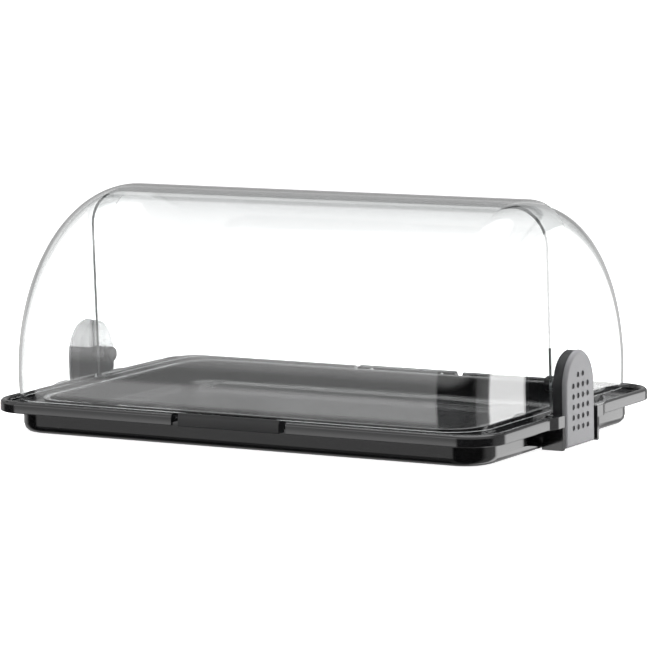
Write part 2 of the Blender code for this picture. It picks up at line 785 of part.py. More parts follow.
def build_ends(hood, materials):
    low, high = cover_screw_places(BRACKET_INNER + SCREW_HEAD + GAP)
    pieces = (
        ("bracket_cover", cover_mesh(), "cover"),
        ("bracket_body", body_mesh(), "body"),
        ("cover_screw_low", cover_screw_mesh(low), "steel"),
        ("cover_screw_high", cover_screw_mesh(high), "steel"),
        ("pivot_pin", pin_mesh(), "steel"),
        ("pivot_spacer", ring_mesh(
            "pivot_spacer", SPACER_RADIUS, BORE_RADIUS, LID_END + GAP, BRACKET_INNER - GAP,
            BODY_EDGE), "body"),
        ("pivot_washer", ring_mesh(
            "pivot_washer", WASHER_RADIUS, BORE_RADIUS, WASHER_OUTER - WASHER_THICKNESS,
            WASHER_OUTER, WASHER_THICKNESS / 4), "clear"),
        ("knob", knob_mesh(), "body"),
    )
    for label, turn in (("right", 0), ("left", pi)):
        for name, mesh, finish in pieces:
            item = add_object(f"{label}_{name}", mesh, display, PIVOT, (0, 0, turn))
            dress(item, materials[finish])
            attach(item, hood)


clear_scene()
display = make_collection("bread display")
cutters = make_collection("cutters")

materials = {
    "base": make_material("black gloss plastic", (0.010, 0.010, 0.011), 0.18),
    "tray": make_material("black tray plastic", (0.014, 0.014, 0.015), 0.28),
    "pad": make_material("pad rubber", (0.020, 0.020, 0.020), 0.80),
    "cover": make_material("grey bracket plastic", (0.115, 0.115, 0.118), 0.45),
    "body": make_material("dark bracket plastic", (0.030, 0.030, 0.032), 0.40),
    "handle": make_material("handle plastic", (0.032, 0.032, 0.034), 0.45),
    "clear": make_material("clear polycarbonate", (0.92, 0.94, 0.95), 0.04, alpha=0.2),
    "steel": make_material("bright steel", (0.55, 0.55, 0.56), 0.30, metallic=1.0),
}

build_base(materials["base"])
build_pads(materials["pad"])
build_tray(materials["tray"])

front_axis = add_axis("front lid axis", PIVOT)
rear_axis = add_axis("rear lid axis", PIVOT)
hood_axis = add_axis("hood", PIVOT)
build_lid("front_lid", -1, LID_RADIUS, LID_END, LID_CORNER, FRONT_LID_REACH,
          FRONT_HANDLE_LENGTH, front_axis, materials["clear"])
build_lid("rear_lid", 1, REAR_LID_RADIUS, REAR_LID_END, LID_CORNER - NEST, REAR_LID_REACH,
          REAR_HANDLE_LENGTH, rear_axis, materials["clear"])
build_handle("front_handle", -1, LID_RADIUS, FRONT_HANDLE_LENGTH, front_axis, materials["handle"])
build_handle("rear_handle", 1, REAR_LID_RADIUS, REAR_HANDLE_LENGTH, rear_axis, materials["handle"])
build_handle_screws("front_handle", -1, LID_RADIUS, FRONT_HANDLE_LENGTH, front_axis,
                    materials["steel"])
build_handle_screws("rear_handle", 1, REAR_LID_RADIUS, REAR_HANDLE_LENGTH, rear_axis,
                    materials["steel"])
build_ends(hood_axis, materials)
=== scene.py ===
import json
import math

import bmesh
import bpy
from mathutils import Matrix, Vector


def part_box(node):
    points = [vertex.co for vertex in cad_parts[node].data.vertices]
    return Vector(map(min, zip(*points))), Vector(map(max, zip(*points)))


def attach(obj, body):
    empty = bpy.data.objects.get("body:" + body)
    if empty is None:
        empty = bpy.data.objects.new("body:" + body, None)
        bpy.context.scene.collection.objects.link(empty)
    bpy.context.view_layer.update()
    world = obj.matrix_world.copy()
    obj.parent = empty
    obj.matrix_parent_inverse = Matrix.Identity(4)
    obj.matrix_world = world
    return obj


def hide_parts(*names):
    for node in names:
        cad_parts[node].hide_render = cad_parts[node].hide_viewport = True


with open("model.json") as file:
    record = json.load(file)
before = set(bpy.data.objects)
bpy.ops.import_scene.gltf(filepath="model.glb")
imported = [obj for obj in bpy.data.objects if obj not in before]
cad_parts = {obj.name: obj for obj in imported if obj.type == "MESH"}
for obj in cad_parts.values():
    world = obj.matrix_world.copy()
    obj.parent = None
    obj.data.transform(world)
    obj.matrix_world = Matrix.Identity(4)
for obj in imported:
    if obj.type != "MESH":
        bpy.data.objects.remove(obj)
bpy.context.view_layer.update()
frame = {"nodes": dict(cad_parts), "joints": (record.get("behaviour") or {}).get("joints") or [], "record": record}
nodes = frame["nodes"]
slotOf = {part["node"]: part["material_slot"] for part in frame["record"]["subparts"]}
bodyOf = {node: body for body, names in frame["record"]["behaviour"]["bodies"].items() for node in names}
# both lids, their pins and the knobs share one axis
pivotHeight = next(joint["pos_m"][2] for joint in frame["joints"] if joint["name"] == "front_lid_turn")
print("frame loaded:", len(nodes), "CAD nodes")


def boxOf(nodeName):
    low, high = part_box(nodeName)
    return Vector(low), Vector(high)


def toLinear(hexColour):
    # sRGB hex to the linear values that the shaders work with
    parts = [int(hexColour[i:i + 2], 16) / 255 for i in (1, 3, 5)]
    return [c / 12.92 if c <= 0.04045 else ((c + 0.055) / 1.055) ** 2.4 for c in parts] + [1.0]


def addNode(tree, kind, *inputs, **settings):
    # inputs fill the sockets in order, and None leaves one as it is; a setting goes to the socket
    # of that name, or else to the node itself; a node or a socket is linked, a value is set
    node = tree.nodes.new(kind)
    feeds = dict(enumerate(inputs))
    for key, value in settings.items():
        if key in node.inputs:
            feeds[key] = value
        else:
            setattr(node, key, value)
    for key, value in feeds.items():
        if isinstance(value, bpy.types.Node):
            value = value.outputs[0]
        if isinstance(value, bpy.types.NodeSocket):
            tree.links.new(value, node.inputs[key])
        elif value is not None:
            node.inputs[key].default_value = value
    return node


def emptyMaterial(name):
    material = bpy.data.materials.new(name)
    material.use_nodes = True
    material.node_tree.nodes.clear()
    return material, material.node_tree


# camera, at the photograph's place; angles in degrees, lens and sensor in mm
cameraView = {
    "place": (2.12659, -3.53468, 0.66257),
    "azimuth": 30.992,
    "elevation": 7.709,
    "roll": -1.119,
    "focal": 227.55,
    "sensor": 36,
    "reach": 50,             # sees this far, in metres
}


def makeCamera(view):
    turn, tilt, roll = (math.radians(view[k]) for k in ("azimuth", "elevation", "roll"))
    back = Vector((math.sin(turn) * math.cos(tilt), -math.cos(turn) * math.cos(tilt), math.sin(tilt)))
    right = Vector((0, 0, 1)).cross(back).normalized()
    up = back.cross(right)
    rolledRight = math.cos(roll) * right + math.sin(roll) * up
    rolledUp = -math.sin(roll) * right + math.cos(roll) * up
    data = bpy.data.cameras.new("photoCamera")
    data.sensor_width = view["sensor"]
    data.lens = view["focal"]
    data.clip_end = view["reach"]
    camera = bpy.data.objects.new("photoCamera", data)
    camera.matrix_world = Matrix.Translation(view["place"]) @ Matrix(
        (rolledRight, rolledUp, back)).transposed().to_4x4()
    bpy.context.scene.collection.objects.link(camera)
    bpy.context.scene.camera = camera


makeCamera(cameraView)


# studio: white surroundings, pale floor and soft lamps. In gloss the room is dark at the
# camera's side, with a soft light box low at the front left and another at the right rear
studio = {
    "ambient": 0.32,         # what the surroundings give to matt surfaces
    "seen": 1.1,             # the white that the camera sees
    "floorColour": "#f2f2f2",
    "floorSize": 14.0,
    "floorSeen": 0.95,       # added where the camera looks at the floor, so that it ends white
    "darkRoom": 0.03,
    "lowRear": 0.6,
    "rearFoot": 0.42,        # the rear wall just above the horizon
    "rearWall": 0.66,
    "frontWall": 1.0,
    "ceiling": 3.2,          # a wide soft lamp overhead
    # where one tone goes over into the next: the rise in degrees, or how far to the rear
    "rearBegins": (-0.2, 0.2),
    "wallRise": (8.0, 26.0),
    "ceilingRise": (53.0, 58.0),
    "horizonRise": (0.0, 6.0),
    # light boxes: the turn from the front to the right, the upper end, how bright, how bright low down
    "boxes": ((-31.0, 24.0, 2.05, 0.45), (151.0, 16.0, 3.4, 3.0)),
    "boxWidth": 13.0,        # half of it, in degrees seen from the object
    "boxEdge": 5.0,
    "boxLowRise": (-15.5, -22.0),
    "frontDim": 0.5,         # the front light box at the horizon, against its lower part
    "dimFoot": (-8.3, -4.3),
    "dimTop": (9.0, 1.0),
    "dimAhead": (0.0, -0.3),
    "strip": 0.1,            # a dark strip along the rear, at this rise and half as high
    "stripRise": 32.0,
    "stripHalf": 2.0,
    "stripEdge": 1.0,
    "stripAhead": (0.0, 0.05),
    "besides": 0.3,          # what clear plastic bends into view from beside the white wall
    "viewTurn": -149.0,      # the camera looks to the left rear
    "besidesFrom": (22.0, 36.0),
    "paintedFloorShadow": 0.38,      # painted shadow of the object: how bright the floor close to the front looks in gloss
    "paintedShadowFar": (0.31, 0.25),   # metres ahead of the object's middle
    "paintedShadowNear": (0.17, 0.16),
    # name, place, what it faces, size, watts
    "lamps": (
        ("frontPool", (-0.40, -0.85, 0.85), (-0.20, -0.55, 0.0), 0.9, 11),
        ("rearPool", (0.62, 0.48, 0.72), (0.50, 0.32, 0.0), 0.8, 20),
        ("overhead", (-0.1, 0.5, 2.2), (0.0, 0.0, 0.1), 1.6, 10),
    ),
}
soft = {"interpolation_type": "SMOOTHSTEP"}     # a range from 0 to 1 with soft shoulders


def rayKinds(tree):
    # whether the camera sees it, straight or through clear plastic, and whether gloss shows it
    path = addNode(tree, "ShaderNodeLightPath")
    through = path.outputs["Is Transmission Ray"]
    seen = addNode(tree, "ShaderNodeMath", path.outputs["Is Camera Ray"], through, operation="MAXIMUM")
    inGloss = addNode(tree, "ShaderNodeMath", path.outputs["Glossy Depth"], 0.5, operation="GREATER_THAN")
    return seen, inGloss, through


def glossTone(tree, setup, turn, rise, y):
    # the room that gloss shows: walls, ceiling, two light boxes, a dimmed front, a dark strip
    rear = addNode(tree, "ShaderNodeMapRange", y, *setup["rearBegins"], **soft)
    low = addNode(tree, "ShaderNodeMix", rear, None, setup["darkRoom"], setup["lowRear"])
    high = addNode(tree, "ShaderNodeMapRange", rise, *setup["wallRise"], **soft)
    rearTone = addNode(tree, "ShaderNodeMix", high, None, setup["rearFoot"], setup["rearWall"])
    upper = addNode(tree, "ShaderNodeMix", rear, None, setup["frontWall"], rearTone)
    high = addNode(tree, "ShaderNodeMapRange", rise, *setup["ceilingRise"], **soft)
    upper = addNode(tree, "ShaderNodeMix", high, None, upper, setup["ceiling"])
    high = addNode(tree, "ShaderNodeMapRange", rise, *setup["horizonRise"], **soft)
    room = addNode(tree, "ShaderNodeMix", high, None, low, upper)

    width, edge = setup["boxWidth"], setup["boxEdge"]
    for middle, top, bright, lower in setup["boxes"]:
        away = addNode(tree, "ShaderNodeMath", turn, middle, operation="SUBTRACT")
        away = addNode(tree, "ShaderNodeMath", away, operation="ABSOLUTE")
        inside = addNode(tree, "ShaderNodeMapRange", away, width + edge, width - edge, **soft)
        under = addNode(tree, "ShaderNodeMapRange", rise, top, top - edge, **soft)
        inside = addNode(tree, "ShaderNodeMath", inside, under, operation="MULTIPLY")
        down = addNode(tree, "ShaderNodeMapRange", rise, *setup["boxLowRise"], **soft)
        level = addNode(tree, "ShaderNodeMix", down, None, bright, lower)
        room = addNode(tree, "ShaderNodeMix", inside, None, room, level)

    foot = addNode(tree, "ShaderNodeMapRange", rise, *setup["dimFoot"], **soft)
    top = addNode(tree, "ShaderNodeMapRange", rise, *setup["dimTop"], **soft)
    ahead = addNode(tree, "ShaderNodeMapRange", y, *setup["dimAhead"], **soft)
    dim = addNode(tree, "ShaderNodeMath", foot, top, operation="MULTIPLY")
    dim = addNode(tree, "ShaderNodeMath", dim, ahead, operation="MULTIPLY")
    dim = addNode(tree, "ShaderNodeMix", dim, None, 1.0, setup["frontDim"])
    room = addNode(tree, "ShaderNodeMath", room, dim, operation="MULTIPLY")

    half = setup["stripHalf"]
    off = addNode(tree, "ShaderNodeMath", rise, setup["stripRise"], operation="SUBTRACT")
    off = addNode(tree, "ShaderNodeMath", off, operation="ABSOLUTE")
    off = addNode(tree, "ShaderNodeMapRange", off, half + setup["stripEdge"], half, **soft)
    ahead = addNode(tree, "ShaderNodeMapRange", y, *setup["stripAhead"], **soft)
    inside = addNode(tree, "ShaderNodeMath", ahead, off, operation="MULTIPLY")
    return addNode(tree, "ShaderNodeMix", inside, None, room, setup["strip"])


def whiteTone(tree, setup, turn, rise, through):
    # what the camera sees: white, but greyer where clear edges bend the view aside
    aside = addNode(tree, "ShaderNodeMath", turn, setup["viewTurn"], operation="SUBTRACT")
    aside = addNode(tree, "ShaderNodeMath", aside, operation="ABSOLUTE")
    otherWay = addNode(tree, "ShaderNodeMath", 360.0, aside, operation="SUBTRACT")
    aside = addNode(tree, "ShaderNodeMath", aside, otherWay, operation="MINIMUM")
    aside = addNode(tree, "ShaderNodeMath", aside, rise, operation="MAXIMUM")
    aside = addNode(tree, "ShaderNodeMapRange", aside, *setup["besidesFrom"], **soft)
    aside = addNode(tree, "ShaderNodeMath", aside, through, operation="MULTIPLY")
    return addNode(tree, "ShaderNodeMix", aside, None, setup["seen"], setup["besides"])


def makeWorld(setup):
    world = bpy.data.worlds.new("studio")
    world.use_nodes = True
    tree = world.node_tree
    tree.nodes.clear()
    seen, inGloss, through = rayKinds(tree)
    place = addNode(tree, "ShaderNodeTexCoord").outputs["Generated"]
    x, y, z = addNode(tree, "ShaderNodeSeparateXYZ", place).outputs
    # turn is 0 to the front and grows to the right, rise is 0 at the horizon, both in degrees
    ahead = addNode(tree, "ShaderNodeMath", y, -1.0, operation="MULTIPLY")
    turn = addNode(tree, "ShaderNodeMath", x, ahead, operation="ARCTAN2")
    turn = addNode(tree, "ShaderNodeMath", turn, math.degrees(1), operation="MULTIPLY")
    rise = addNode(tree, "ShaderNodeMath", z, operation="ARCSINE")
    rise = addNode(tree, "ShaderNodeMath", rise, math.degrees(1), operation="MULTIPLY")
    room = glossTone(tree, setup, turn, rise, y)
    white = whiteTone(tree, setup, turn, rise, through)
    plain = addNode(tree, "ShaderNodeMix", seen, None, setup["ambient"], white)
    strength = addNode(tree, "ShaderNodeMix", inGloss, None, plain, room)
    back = addNode(tree, "ShaderNodeBackground", toLinear("#ffffff"), strength)
    addNode(tree, "ShaderNodeOutputWorld", back)
    bpy.context.scene.world = world


def makeLamps(setup):
    for name, place, target, size, power in setup["lamps"]:
        data = bpy.data.lights.new(name, "AREA")
        data.size = size
        data.energy = power
        lamp = bpy.data.objects.new(name, data)
        lamp.location = place
        lamp.rotation_euler = (Vector(target) - Vector(place)).to_track_quat("-Z", "Y").to_euler()
        lamp.visible_camera = False
        # gloss shows the light boxes of the surroundings instead
        lamp.visible_glossy = lamp.visible_transmission = False
        bpy.context.scene.collection.objects.link(lamp)


def makeFloor(setup):
    bpy.ops.object.select_all(action="DESELECT")
    bpy.ops.mesh.primitive_plane_add(size=setup["floorSize"])
    floor = bpy.context.active_object
    floor.name = "studioFloor"
    material, tree = emptyMaterial("pale floor paper")
    seen, inGloss, through = rayKinds(tree)
    paper = addNode(tree, "ShaderNodeBsdfDiffuse", toLinear(setup["floorColour"]))
    glow = addNode(tree, "ShaderNodeEmission", Strength=setup["floorSeen"])
    sheet = addNode(tree, "ShaderNodeAddShader", paper, glow)
    lit = addNode(tree, "ShaderNodeMixShader", seen, paper, sheet)
    # in gloss the light boxes under the horizon stand in for the floor; close to the front a painted shadow of the
    # object dims them
    place = addNode(tree, "ShaderNodeTexCoord").outputs["Object"]
    part = addNode(tree, "ShaderNodeSeparateXYZ", place)
    ahead = addNode(tree, "ShaderNodeMath", part.outputs[1], -1.0, operation="MULTIPLY")
    far = addNode(tree, "ShaderNodeMapRange", ahead, *setup["paintedShadowFar"], **soft)
    close = addNode(tree, "ShaderNodeMapRange", ahead, *setup["paintedShadowNear"], **soft)
    # painted shadow: the floor ahead of the base is darkened in gloss, but not right under it
    shade = addNode(tree, "ShaderNodeMix", far, None, 1.0, setup["paintedFloorShadow"])
    shade = addNode(tree, "ShaderNodeMix", close, None, shade, 1.0)
    paintedShadowTint = addNode(tree, "ShaderNodeCombineXYZ", shade, shade, shade)
    clear = addNode(tree, "ShaderNodeBsdfTransparent", paintedShadowTint)
    mix = addNode(tree, "ShaderNodeMixShader", inGloss, lit, clear)
    addNode(tree, "ShaderNodeOutputMaterial", mix)
    floor.data.materials.append(material)


makeWorld(studio)
makeLamps(studio)
makeFloor(studio)
bpy.context.scene.view_settings.view_transform = "Standard"
print("camera, lamps and floor ready")


# moulded plastics: fine grain from the mould, slightly uneven gloss, edges a little rounded
mould = {
    "grainDetail": 3.0,
    "cloudScale": 14.0,      # patches of slightly other gloss, about 70 mm across
    "cloudDetail": 4.0,
    "noiseSpan": (0.3, 0.7),    # where nearly all of a noise's values lie
    "tint": 0.06,            # how much the grain lightens and darkens the colour
    "edge": 0.0005,
    "edgeSamples": 4,
}
# name, colour, roughness and its spread, size and depth of the grain in metres, IOR
plastics = {
    # ABS from a polished mould: deep black with clear, soft-edged reflections
    "base_black": ("black polished ABS", "#141415", 0.10, 0.02, 0.0012, 0.000003, 1.58),
    "tray_black": ("black tray ABS", "#101011", 0.07, 0.02, 0.0010, 0.000002, 1.54),
    # rubber feet: dull, with no reflections
    "pad_rubber": ("black rubber", "#1e1e1e", 0.8, 0.05, 0.0008, 0.00003, 1.5),
    # polypropylene from an eroded mould: an even grey that scatters the light
    "cover_grey": ("grey grained polypropylene", "#6b6b6d", 0.42, 0.04, 0.0007, 0.00002, 1.5),
    # nylon: dark, with a broad satin shine
    "bracket_dark": ("dark satin nylon", "#1b1b1d", 0.5, 0.05, 0.0008, 0.00001, 1.46),
    "handle_dark": ("dark satin handle nylon", "#161617", 0.36, 0.05, 0.0008, 0.00001, 1.42),
}
# knobs: nylon, nearly black
knobPlastic = ("black knob nylon", "#0e0e0f", 0.34, 0.04, 0.0008, 0.00001, 1.42)


def mouldedPlastic(name, colour, roughness, sheenSpread, grainSize, grainDepth, ior):
    material, tree = emptyMaterial(name)
    place = addNode(tree, "ShaderNodeTexCoord").outputs["Object"]
    grain = addNode(tree, "ShaderNodeTexNoise", place, Scale=1 / grainSize, Detail=mould["grainDetail"])
    cloud = addNode(tree, "ShaderNodeTexNoise", place,
                    Scale=mould["cloudScale"], Detail=mould["cloudDetail"])
    rough = addNode(tree, "ShaderNodeMapRange", cloud, *mould["noiseSpan"],
                    roughness - sheenSpread, roughness + sheenSpread)
    tint = addNode(tree, "ShaderNodeMapRange", grain, *mould["noiseSpan"],
                   1 - mould["tint"], 1 + mould["tint"])
    shade = addNode(tree, "ShaderNodeVectorMath", toLinear(colour)[:3], operation="SCALE", Scale=tint)
    rounded = addNode(tree, "ShaderNodeBevel", samples=mould["edgeSamples"], Radius=mould["edge"])
    bump = addNode(tree, "ShaderNodeBump", Strength=1.0, Distance=grainDepth, Height=grain, Normal=rounded)
    shader = addNode(tree, "ShaderNodeBsdfPrincipled", shade, IOR=ior, Roughness=rough, Normal=bump)
    addNode(tree, "ShaderNodeOutputMaterial", shader)
    return material


# polycarbonate: nearly colourless and polished, with a faint haze; lets the lamps through
polycarbonate = {
    "ior": 1.585,
    "hazeScale": 9.0,        # patches of slightly other haze, about 110 mm across
    "hazeDetail": 3.0,
    "hazeSpan": (0.35, 0.75),
    "grazingShadeColour": "#c2c4c5",   # painted shade: greyer where the wall is seen edge-on, in place of the darker surroundings that the edges reflect
    "grazingShadePower": 5.0,
    "passedColour": "#f4f6f6",  # what light has after passing a wall
    # name, colour, least and most haze, share of clear plastic
    "formed": ("clear formed polycarbonate", "#fcfdfd", 0.0, 0.02, 1.0),
    "routed": ("routed polycarbonate edge", "#d4d7d8", 0.14, 0.24, 0.86),   # cut edges look greyer
}


def clearPlastic(name, colour, hazeLow, hazeHigh, weight):
    setup = polycarbonate
    material, tree = emptyMaterial(name)
    place = addNode(tree, "ShaderNodeTexCoord").outputs["Object"]
    haze = addNode(tree, "ShaderNodeTexNoise", place, Scale=setup["hazeScale"], Detail=setup["hazeDetail"])
    rough = addNode(tree, "ShaderNodeMapRange", haze, *setup["hazeSpan"], hazeLow, hazeHigh)
    # painted shade: where the wall is seen edge-on, its colour is turned towards the grey grazing colour
    grazingWeight = addNode(tree, "ShaderNodeLayerWeight", Blend=0.5)
    depth = addNode(tree, "ShaderNodeMath", grazingWeight.outputs["Facing"], setup["grazingShadePower"], operation="POWER")
    tint = addNode(tree, "ShaderNodeMix", depth, data_type="RGBA")
    tint.inputs[6].default_value = toLinear(colour)
    tint.inputs[7].default_value = toLinear(setup["grazingShadeColour"])
    glass = addNode(tree, "ShaderNodeBsdfPrincipled", tint.outputs[2], Roughness=rough, IOR=setup["ior"],
                    **{"Transmission Weight": weight})
    passed = addNode(tree, "ShaderNodeBsdfTransparent", toLinear(setup["passedColour"]))
    path = addNode(tree, "ShaderNodeLightPath")
    passing = addNode(tree, "ShaderNodeMath", path.outputs["Is Shadow Ray"], path.outputs["Is Diffuse Ray"],
                      operation="MAXIMUM")
    mix = addNode(tree, "ShaderNodeMixShader", passing, glass, passed)
    addNode(tree, "ShaderNodeOutputMaterial", mix)
    return material


# steel: bright and drawn, with faint turning marks
steel = {
    "name": "bright turned steel",
    "colour": "#c4c4c6",
    "markScale": 900.0,      # marks about 1 mm apart
    "markDetail": 2.0,
    "roughness": (0.2, 0.38),
}


def turnedSteel(setup):
    material, tree = emptyMaterial(setup["name"])
    place = addNode(tree, "ShaderNodeTexCoord").outputs["Object"]
    marks = addNode(tree, "ShaderNodeTexNoise", place, Scale=setup["markScale"], Detail=setup["markDetail"])
    rough = addNode(tree, "ShaderNodeMapRange", marks, None, None, *setup["roughness"])
    shader = addNode(tree, "ShaderNodeBsdfPrincipled", toLinear(setup["colour"]),
                     Metallic=1.0, Roughness=rough)
    addNode(tree, "ShaderNodeOutputMaterial", shader)
    return material


finishes = {slot: mouldedPlastic(*values) for slot, values in plastics.items()}
finishes["clear_shell"] = clearPlastic(*polycarbonate["formed"])
finishes["steel"] = turnedSteel(steel)
routedEdge = clearPlastic(*polycarbonate["routed"])
knobNylon = mouldedPlastic(*knobPlastic)

for nodeName, node in nodes.items():
    node.data.materials.clear()
    node.data.materials.append(finishes[slotOf[nodeName]])
print("CAD nodes have their materials")


# modelling helpers
near = 0.0001                # places closer than this count as the same
finishing = {"smoothAngle": 35, "flatWeight": 80}   # degrees; how strongly flat faces hold the shading


def pick(obj):
    bpy.ops.object.select_all(action="DESELECT")
    obj.select_set(True)
    bpy.context.view_layer.objects.active = obj


def openEdit(obj, mode):
    pick(obj)
    bpy.ops.object.mode_set(mode="EDIT")
    bpy.ops.mesh.select_mode(type=mode)


def closeEdit():
    bpy.ops.object.mode_set(mode="OBJECT")


def selectFaces(obj, test):
    # selects the faces whose middle and normal pass the test
    shape = bmesh.from_edit_mesh(obj.data)
    for face in shape.faces:
        face.select_set(bool(test(face.calc_center_median(), face.normal)))
    bmesh.update_edit_mesh(obj.data)


def selectEdges(obj, test):
    # selects the edges whose two ends pass the test
    bpy.ops.mesh.select_all(action="DESELECT")
    shape = bmesh.from_edit_mesh(obj.data)
    for edge in shape.edges:
        edge.select_set(bool(test(edge.verts[0].co, edge.verts[1].co)))
    bmesh.update_edit_mesh(obj.data)


def addRod(steps, radius, length, place):
    # a cylinder that lies along X
    bpy.ops.object.select_all(action="DESELECT")
    bpy.ops.mesh.primitive_cylinder_add(
        vertices=steps, radius=radius, depth=length, location=place, rotation=(0, math.pi / 2, 0))
    return bpy.context.active_object


def settle(obj):
    # place, turn and size go into the mesh
    pick(obj)
    bpy.ops.object.transform_apply(location=True, rotation=True, scale=True)


def useModifier(obj, kind, **settings):
    pick(obj)
    modifier = obj.modifiers.new(kind.lower(), kind)
    for key, value in settings.items():
        setattr(modifier, key, value)
    bpy.ops.object.modifier_apply(modifier=modifier.name)


def roundEdges(obj, width, steps, angle):
    # rounds the edges that turn by more than the angle, in degrees
    useModifier(obj, "BEVEL", width=width, segments=steps, limit_method="ANGLE",
                angle_limit=math.radians(angle))


def cutAway(obj, cutter):
    useModifier(obj, "BOOLEAN", object=cutter, operation="DIFFERENCE", solver="EXACT")
    bpy.data.objects.remove(cutter, do_unlink=True)


def joinAll(objects):
    pick(objects[0])
    for obj in objects:
        obj.select_set(True)
    bpy.ops.object.join()
    return objects[0]


def copyTurned(obj, name):
    # a copy for the other end, half a turn round
    copy = obj.copy()
    copy.data = obj.data.copy()
    copy.name = name
    bpy.context.scene.collection.objects.link(copy)
    copy.rotation_euler = (0, 0, math.pi)
    settle(copy)
    return copy


def finishPiece(obj, name, nodeName, angle=finishing["smoothAngle"]):
    # smooths, dresses and hands the piece to the body that its node rides on
    obj.name = name
    pick(obj)
    bpy.ops.object.shade_smooth_by_angle(angle=math.radians(angle))
    useModifier(obj, "WEIGHTED_NORMAL", keep_sharp=True, weight=finishing["flatWeight"])
    if not obj.data.materials:
        obj.data.materials.append(finishes[slotOf[nodeName]])
    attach(obj, bodyOf[nodeName])
    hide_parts(nodeName)


# lids: the rear one nests in the front one
lids = {
    "wall": 0.003,
    "corner": 0.042,         # of the front lid; the rear one's is as much less as its radius
    "edgeGap": 0.0005,       # from the rim up to the lower edge
    "lean": 0.02778,         # how far the long upright edge leans, in radians
    "tongueDepth": 0.0075,   # goes down into the handle
    "tongueMargin": 0.006,   # from the tongue's end to the handle's
    "pinHole": 0.0043,
    "overrun": 0.02,
    "ringSteps": 192,
    "cornerSteps": 14,
    "heelSteps": 9,
    "holeSteps": 48,
    "merge": 0.000001,
    "rounding": (0.0005, 2, 55),    # width, steps, angle
    "smoothAngle": 30,
    "reach": {"front": 0.017, "rear": 0.012},   # from the axis to the upright edge
    "side": {"front": -1, "rear": 1},
}


def makeLid(which, setup):
    high = boxOf(which + "_lid")[1]
    end, radius = high.x, high.z - pivotHeight
    nested = boxOf("front_lid")[1].z - high.z
    tongueHalf = boxOf(which + "_handle")[1].x - setup["tongueMargin"]
    edge = boxOf("base_tray")[1].z + setup["edgeGap"]
    pivot = Vector((0, 0, pivotHeight))
    side, reach = setup["side"][which], setup["reach"][which]
    shell = addRod(setup["ringSteps"], radius, 2 * end, pivot)
    settle(shell)

    openEdit(shell, "EDGE")
    selectEdges(shell, lambda a, b: min(abs(a.x), abs(b.x)) > end - near and a.x * b.x > 0)
    bpy.ops.mesh.bevel(
        offset=setup["corner"] - nested, segments=setup["cornerSteps"], profile=0.5, affect="EDGES")

    # cut to the side view: lower edge, heel round the pivot, leaning upright edge
    def cut(place, normal, clear=True):
        bpy.ops.mesh.select_all(action="SELECT")
        bpy.ops.mesh.bisect(plane_co=place, plane_no=normal, clear_outer=clear)

    heel = pivotHeight - edge
    cut((0, 0, edge - setup["tongueDepth"]), (0, 0, -1))
    turnEnd = math.asin(reach / heel)
    for step in range(1, setup["heelSteps"] + 1):
        angle = turnEnd * step / setup["heelSteps"]
        out = Vector((0, -side * math.sin(angle), -math.cos(angle)))
        cut(pivot + heel * out, out)
    # the last heel cut ends where the upright edge starts
    cut(pivot + heel * out, (0, -side * math.cos(setup["lean"]), -math.sin(setup["lean"])))
    cut((0, 0, edge), (0, 0, -1), clear=False)
    bpy.ops.mesh.select_mode(type="FACE")
    for hand in (1, -1):
        selectFaces(shell, lambda c, n: c.z < edge)
        bpy.ops.mesh.bisect(plane_co=(hand * tongueHalf, 0, 0), plane_no=(1, 0, 0))
    selectFaces(shell, lambda c, n: c.z < edge and (abs(c.x) > tongueHalf or c.y * side < 0))
    bpy.ops.mesh.delete(type="FACE")
    bpy.ops.mesh.select_all(action="SELECT")
    bpy.ops.mesh.remove_doubles(threshold=setup["merge"])
    bpy.ops.mesh.normals_make_consistent(inside=False)
    closeEdit()

    shell.data.materials.append(finishes["clear_shell"])
    shell.data.materials.append(routedEdge)
    useModifier(shell, "SOLIDIFY", thickness=setup["wall"], offset=-1, use_even_offset=True,
                material_offset_rim=1)
    cutAway(shell, addRod(setup["holeSteps"], setup["pinHole"], 2 * (end + setup["overrun"]), pivot))
    roundEdges(shell, *setup["rounding"])
    finishPiece(shell, which + "_roll_top", which + "_lid", setup["smoothAngle"])
    print(which, "lid modelled:", len(shell.data.polygons), "faces")


makeLid("front", lids)
makeLid("rear", lids)


# serving tray: rail, draughted wall, step low in the wall, floor
tray = {
    "corner": 0.0362,        # outside, round the rail
    "cornerSteps": 20,
    "wall": 0.002,
    # inset from the outside, height: rail, wall, step, floor
    "profile": ((0.0062, 0.0353), (0.0077, 0.014), (0.0117, 0.011), (0.0152, 0.006)),
    "rounding": (0.0012, 4, 15),    # width, steps, angle
    "edgeRounding": (0.0006, 3, 60),
}


